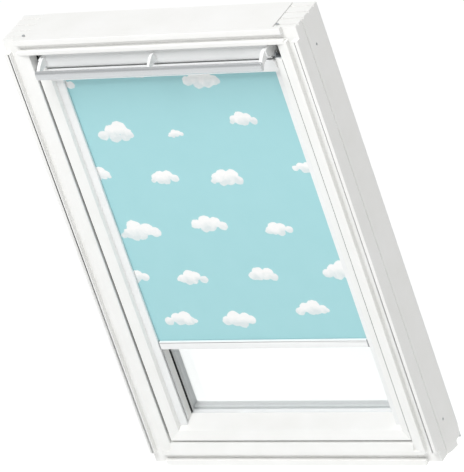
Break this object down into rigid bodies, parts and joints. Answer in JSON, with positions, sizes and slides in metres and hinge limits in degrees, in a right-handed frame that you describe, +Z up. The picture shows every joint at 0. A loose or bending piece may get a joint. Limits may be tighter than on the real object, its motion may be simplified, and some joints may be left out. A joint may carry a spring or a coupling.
{
  "type": "roof window with roller blind",
  "caption": "Centre-pivot roof window with a ventilation flap, a control bar and a printed roller blind that runs in side channels on the sash.",
  "frame": {"origin": "centre of the window on the room-side face of the frame", "axes": "+X across the window to the right seen from the room, +Y towards the outside, +Z up"},
  "size_m": [0.78, 0.1833, 1.186],
  "materials": {
    "white_lacquer": "white lacquer on wood, satin",
    "white_aluminium": "white powder coat",
    "pale_aluminium": "pale grey coated sheet",
    "satin_aluminium": "satin anodised",
    "zinc_steel": "zinc plated",
    "white_plastic": "matte",
    "black_rubber": "matte",
    "blue_cloth": "woven polyester with a printed sky",
    "grey_foam": "open foam",
    "clear_glass": "clear"
  },
  "bodies": {
    "frame": {"left_jamb": "white_lacquer", "right_jamb": "white_lacquer", "head": "white_lacquer", "sill": "white_lacquer", "frame_gasket": "black_rubber", "strike_plate": "zinc_steel", "left_pivot_housing": "zinc_steel", "right_pivot_housing": "zinc_steel", "left_cladding": "pale_aluminium", "right_cladding": "pale_aluminium", "sill_cladding": "pale_aluminium", "left_upper_cover": "pale_aluminium", "right_upper_cover": "pale_aluminium", "hood": "pale_aluminium"},
    "sash": {"left_stile": "white_lacquer", "right_stile": "white_lacquer", "top_rail": "white_lacquer", "bottom_rail": "white_lacquer", "left_pivot_arm": "zinc_steel", "right_pivot_arm": "zinc_steel", "glazing_gasket": "black_rubber", "inner_pane": "clear_glass", "spacer_bar": "satin_aluminium", "outer_pane": "clear_glass", "left_glazing_bead": "pale_aluminium", "right_glazing_bead": "pale_aluminium", "top_glazing_bead": "pale_aluminium", "bottom_glazing_bead": "pale_aluminium", "left_lower_cover": "pale_aluminium", "right_lower_cover": "pale_aluminium", "bottom_cover": "pale_aluminium", "air_filter": "grey_foam", "latch_case": "zinc_steel", "left_flap_hinge": "zinc_steel", "right_flap_hinge": "zinc_steel", "blind_cassette": "white_aluminium", "left_cassette_cap": "white_plastic", "right_cassette_cap": "white_plastic", "left_channel": "white_aluminium", "right_channel": "white_aluminium"},
    "latch": {"latch_lever": "zinc_steel"},
    "flap": {"ventilation_flap": "white_aluminium", "left_bracket": "white_aluminium", "right_bracket": "white_aluminium", "middle_bracket": "white_aluminium", "control_bar": "satin_aluminium"},
    "roller": {"roller_tube": "satin_aluminium", "wound_cloth": "blue_cloth", "left_roller_plug": "white_plastic", "right_roller_plug": "white_plastic"},
    "blind_bar": {"blind_cloth": "blue_cloth", "bottom_bar": "white_aluminium", "left_bar_guide": "white_plastic", "right_bar_guide": "white_plastic"}
  },
  "joints": [
    {"name": "sash_pivot", "type": "hinge", "parent": "frame", "child": "sash", "pos_m": [0, 0.094, 0], "axis": [1, 0, 0], "range_deg": [0, 150]},
    {"name": "flap_hinge", "type": "hinge", "parent": "sash", "child": "flap", "pos_m": [0, 0.03, 0.508], "axis": [1, 0, 0], "range_deg": [0, 22]},
    {"name": "latch_turn", "type": "hinge", "parent": "sash", "child": "latch", "pos_m": [0, 0.0665, 0.513], "axis": [1, 0, 0], "range_deg": [0, 22]},
    {"name": "blind_slide", "type": "slide", "parent": "sash", "child": "blind_bar", "axis": [0, 0, 1], "range_m": [-0.205, 0.7], "deforming": ["blind_cloth"]},
    {"name": "roller_turn", "type": "hinge", "parent": "sash", "child": "roller", "pos_m": [0, 0.032, 0.484], "axis": [1, 0, 0], "range_deg": [-1100, 3600]}
  ],
  "couplings": [
    {"joint": "latch_turn", "follows": "flap_hinge", "ratio": 1},
    {"joint": "roller_turn", "follows": "blind_slide", "rad_per_m": 86.957}
  ]
}
